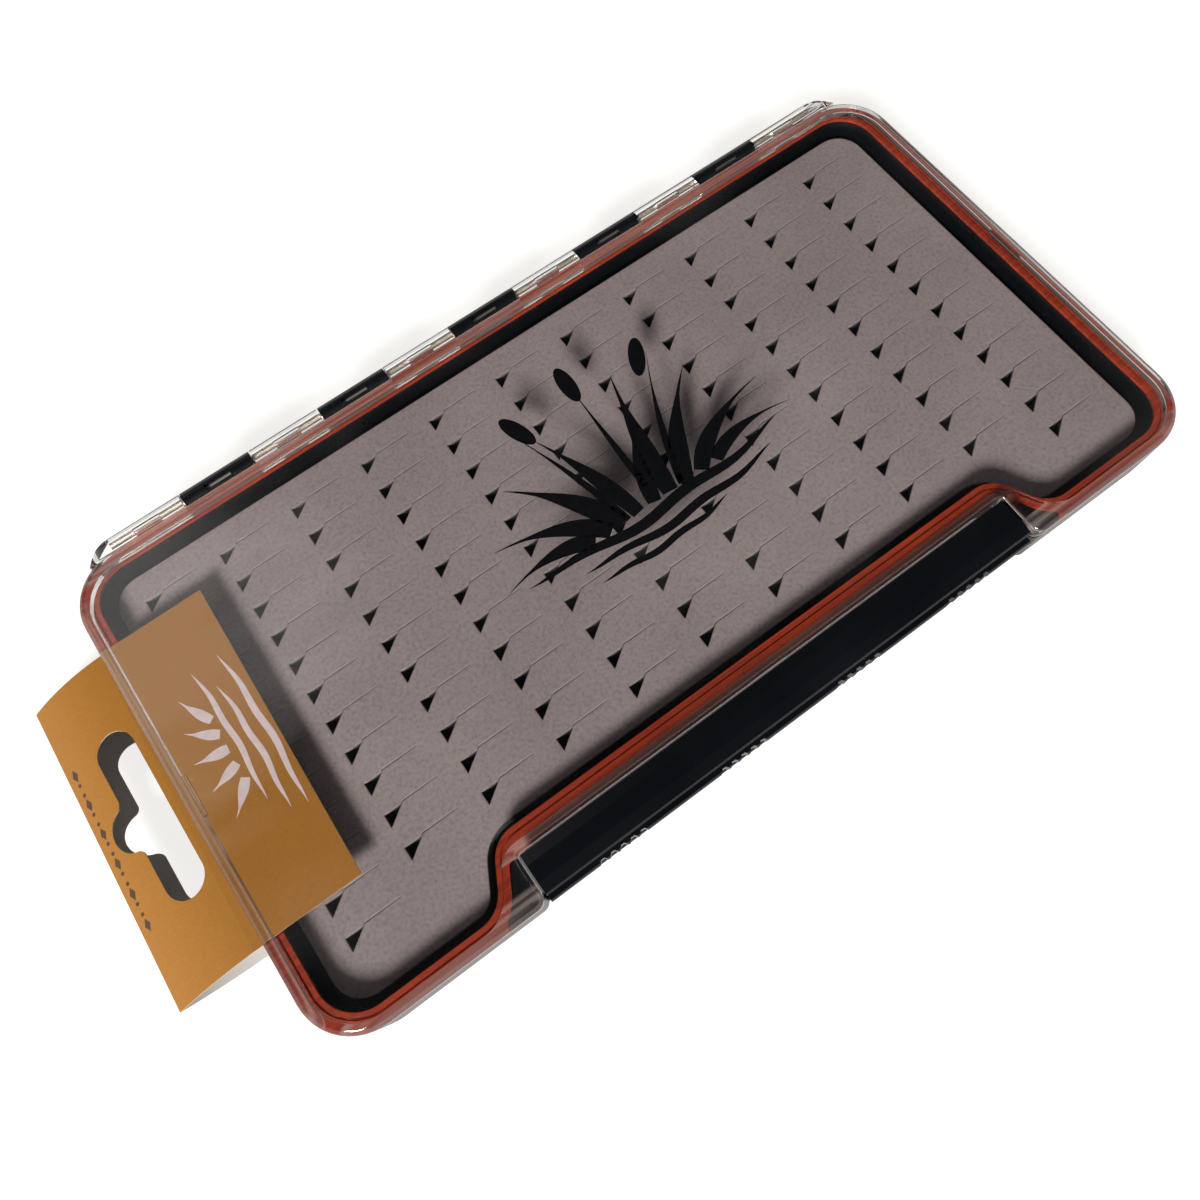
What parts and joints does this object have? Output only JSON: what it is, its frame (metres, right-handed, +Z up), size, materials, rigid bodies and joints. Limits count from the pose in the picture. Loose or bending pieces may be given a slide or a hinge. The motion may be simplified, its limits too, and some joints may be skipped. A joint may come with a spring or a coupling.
{
  "type": "fly box",
  "caption": "Slim hinged box for fishing flies: clear lid, slotted silicone mat, seal ring, full-width front latch and a folded card tag",
  "frame": {"origin": "middle of the case's resting face, on the ground", "axes": "+X along the hinge, away from the card tag; +Y from the latch to the hinge; +Z up through the closed lid"},
  "size_m": [0.2029, 0.0994, 0.013],
  "materials": {
    "base_plastic": "gloss",
    "mat_silicone": "satin",
    "glue_film": "satin",
    "seal_silicone": "satin",
    "clear_plastic": "polished",
    "pin_steel": "satin",
    "latch_plastic": "gloss",
    "tag_card": "satin"
  },
  "bodies": {
    "case": {"base": "base_plastic", "slit_mat": "mat_silicone", "mat_glue_film": "glue_film", "seal_ring": "seal_silicone", "hinge_pin": "pin_steel"},
    "lid": {"lid": "clear_plastic"},
    "latch": {"latch_bar": "latch_plastic"},
    "tag": {"hang_tag": "tag_card"}
  },
  "joints": [
    {"name": "lid_hinge", "type": "hinge", "parent": "case", "child": "lid", "pos_m": [0, 0.0491, 0.011], "axis": [-1, 0, 0], "range_deg": [0, 180]},
    {"name": "latch_pivot", "type": "hinge", "parent": "case", "child": "latch", "pos_m": [0, -0.0469, 0.0026], "axis": [1, 0, 0], "range_deg": [0, 90]},
    {"name": "tag_pull", "type": "slide", "parent": "case", "child": "tag", "axis": [-1, 0, 0], "range_m": [0, 0.03]}
  ]
}
